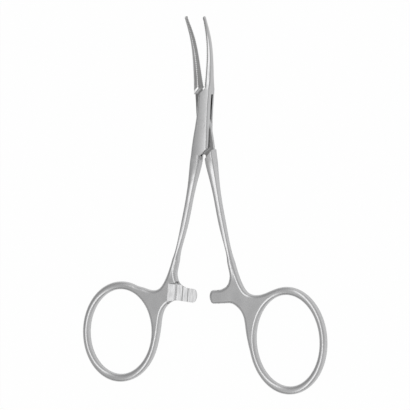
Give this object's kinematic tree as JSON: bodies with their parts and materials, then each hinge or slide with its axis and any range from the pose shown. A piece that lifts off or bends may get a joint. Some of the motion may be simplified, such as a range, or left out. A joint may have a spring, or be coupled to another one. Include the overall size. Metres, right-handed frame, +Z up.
{
  "type": "hemostatic forceps",
  "caption": "Curved mosquito-pattern hemostatic forceps: crossed steel halves with finger rings, a ratchet and a box lock that shut slim serrated jaws on a small vessel.",
  "frame": {"origin": "on the pivot axis, in the plane of the lock's back face, on which the instrument lies", "axes": "+Y along the instrument from the finger rings to the jaw tips, +X across the rings towards the ring of the half that passes through the box, +Z up along the pivot, the way the jaws curve"},
  "size_m": [0.0892, 0.1238, 0.0097],
  "materials": {
    "satin_steel": "satin"
  },
  "bodies": {
    "female": {"female_half": "satin_steel", "pivot_pin": "satin_steel"},
    "male": {"male_half": "satin_steel"}
  },
  "joints": [
    {"name": "box_lock_pivot", "type": "hinge", "parent": "female", "child": "male", "pos_m": [0, 0, 0.0021], "axis": [0, 0, 1], "range_deg": [-9.5, 50]}
  ]
}
